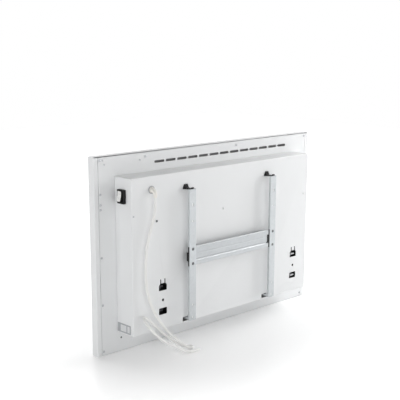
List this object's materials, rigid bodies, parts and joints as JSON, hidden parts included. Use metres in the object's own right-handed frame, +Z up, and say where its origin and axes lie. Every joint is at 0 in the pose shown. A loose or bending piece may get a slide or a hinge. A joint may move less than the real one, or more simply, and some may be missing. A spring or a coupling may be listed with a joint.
{
  "type": "electric panel heater",
  "caption": "Flat electric panel heater with a rear cover, side power switch, hook-on steel wall bracket and a free supply lead, standing on its lower edge.",
  "frame": {"origin": "on the floor, under the middle of the heater's bounding box without its free cord", "axes": "+Z up, -Y is the way the heating front faces, +X is the left side as seen from behind"},
  "size_m": [0.695, 0.1391, 0.44],
  "materials": {
    "white_paint": "fine satin powder coat",
    "plate_paint": "fine satin powder coat",
    "galvanised": "galvanised, faint spangle",
    "zinc_steel": "zinc plated",
    "dark_steel": "black oxide",
    "white_plastic": "moulded, satin",
    "black_plastic": "moulded, fine grain",
    "cord_sheath": "soft sheath, satin",
    "lead_sheath": "soft sheath",
    "plate_foil": "bare satin foil",
    "film": "thin film",
    "wool": "dark fibre mat",
    "fin_aluminium": "extruded",
    "ceramic": "unglazed ceramic",
    "board": "coated board",
    "relay": "moulded case"
  },
  "bodies": {
    "heater": {"front_panel": "white_paint", "heating_film": "film", "insulation_mat": "wool", "side_rail_left": "zinc_steel", "side_rail_right": "zinc_steel", "top_rail": "zinc_steel", "back_plate": "plate_paint", "wire_grommet": "black_plastic", "rear_cover": "white_paint", "cover_rail": "zinc_steel", "terminal_screw": "dark_steel", "terminal_post": "zinc_steel", "cover_screw_middle": "white_paint", "cover_post_middle": "zinc_steel", "cover_screw_right": "white_paint", "cover_post_right": "zinc_steel", "foot_socket_left": "black_plastic", "foot_socket_right": "black_plastic", "foot_clip_left": "zinc_steel", "foot_clip_right": "zinc_steel", "rating_plate": "plate_foil", "switch_housing": "black_plastic", "switch_blade_upper": "zinc_steel", "switch_blade_lower": "zinc_steel", "cord_gland": "cord_sheath", "gland_nut": "white_plastic", "inner_lead": "cord_sheath", "cord_clamp": "white_plastic", "clamp_screw": "zinc_steel", "terminal_block": "white_plastic", "control_tray": "white_plastic", "control_board": "board", "control_relay": "relay", "control_capacitor": "black_plastic", "finned_element": "fin_aluminium", "element_insulator_left": "ceramic", "element_insulator_right": "ceramic", "element_support_left": "zinc_steel", "element_support_right": "zinc_steel", "thermal_cutout": "ceramic", "room_sensor": "black_plastic", "switch_lead": "lead_sheath", "control_lead": "lead_sheath", "element_lead": "lead_sheath", "film_lead": "lead_sheath", "sensor_lead": "lead_sheath", "power_cord": "cord_sheath", "cord_end_sleeve": "white_plastic"},
    "wall_bracket": {"upright_left": "galvanised", "upright_right": "galvanised", "bar_connector_left": "black_plastic", "bar_connector_right": "black_plastic", "crossbar": "galvanised", "bar_bolt_left_upper": "dark_steel", "bar_bolt_left_lower": "dark_steel", "bar_bolt_right_upper": "dark_steel", "bar_bolt_right_lower": "dark_steel"},
    "left_lock": {"lock_left": "black_plastic"},
    "right_lock": {"lock_right": "black_plastic"},
    "switch_rocker": {"rocker": "white_plastic"}
  },
  "joints": [
    {"name": "bracket_tilt", "type": "hinge", "parent": "heater", "child": "wall_bracket", "pos_m": [0.0035, 0.0247, 0.05825], "axis": [-1, 0, 0], "range_deg": [0, 20]},
    {"name": "left_lock_slide", "type": "slide", "parent": "wall_bracket", "child": "left_lock", "axis": [0, 0, 1], "range_m": [0, 0.005]},
    {"name": "right_lock_slide", "type": "slide", "parent": "wall_bracket", "child": "right_lock", "axis": [0, 0, 1], "range_m": [0, 0.005]},
    {"name": "rocker_press", "type": "hinge", "parent": "heater", "child": "switch_rocker", "pos_m": [0.2955, -0.0038, 0.354], "axis": [0, 1, 0], "range_deg": [0, 20]}
  ]
}
